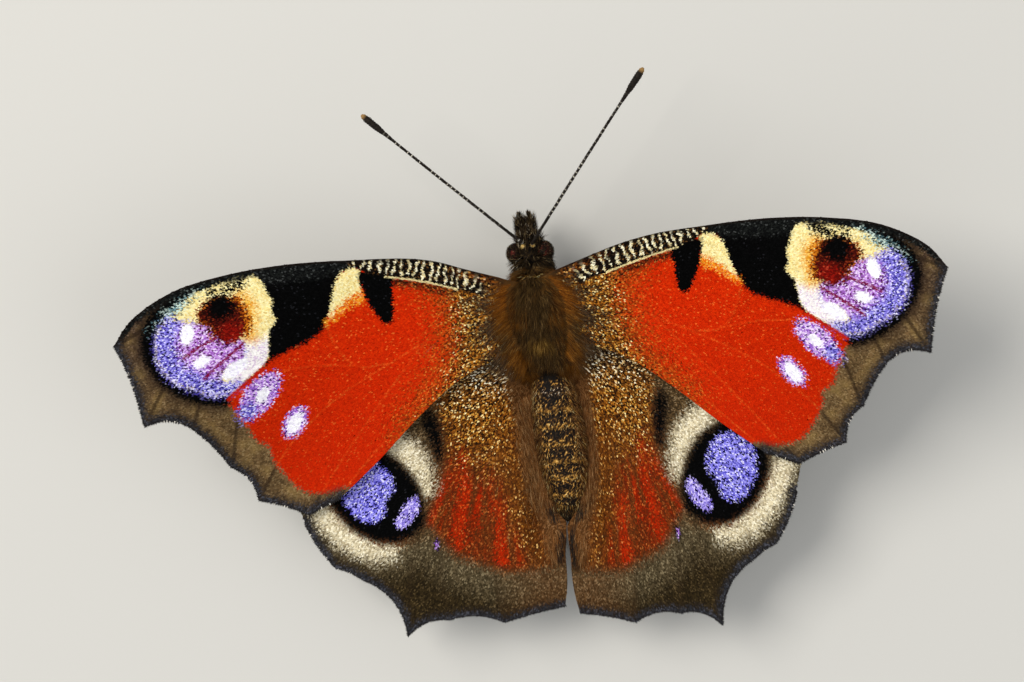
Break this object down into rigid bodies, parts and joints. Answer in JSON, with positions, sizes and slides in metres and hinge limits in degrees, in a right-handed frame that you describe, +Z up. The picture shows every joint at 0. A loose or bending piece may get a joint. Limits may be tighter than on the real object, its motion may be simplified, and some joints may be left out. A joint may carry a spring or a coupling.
{
  "type": "butterfly",
  "caption": "Butterfly with rust-red eyespotted wings spread flat, hairy body, clubbed antennae and slim legs that stand on the floor.",
  "frame": {"origin": "centre of the bounding box at floor level, under the feet", "axes": "+Y towards the head, +X to the butterfly's right, +Z up from the floor"},
  "size_m": [0.0588, 0.0406, 0.0153],
  "materials": {
    "forewing": "matt scales",
    "hindwing": "matt scales",
    "body_fur": "short fur",
    "eye": "glossy, finely faceted",
    "antenna": "satin, ringed",
    "leg": "matt, scaled"
  },
  "bodies": {
    "root": {"forewing_right": "forewing", "forewing_left": "forewing", "hindwing_right": "hindwing", "hindwing_left": "hindwing", "thorax": "body_fur", "abdomen": "body_fur", "head": "body_fur", "eye_right": "eye", "eye_left": "eye", "antenna_right": "antenna", "antenna_left": "antenna", "palp_right": "body_fur", "palp_left": "body_fur", "proboscis": "antenna", "midleg_right": "leg", "midleg_left": "leg", "hindleg_right": "leg", "hindleg_left": "leg", "foreleg_right": "leg", "foreleg_left": "leg"}
  },
  "joints": []
}
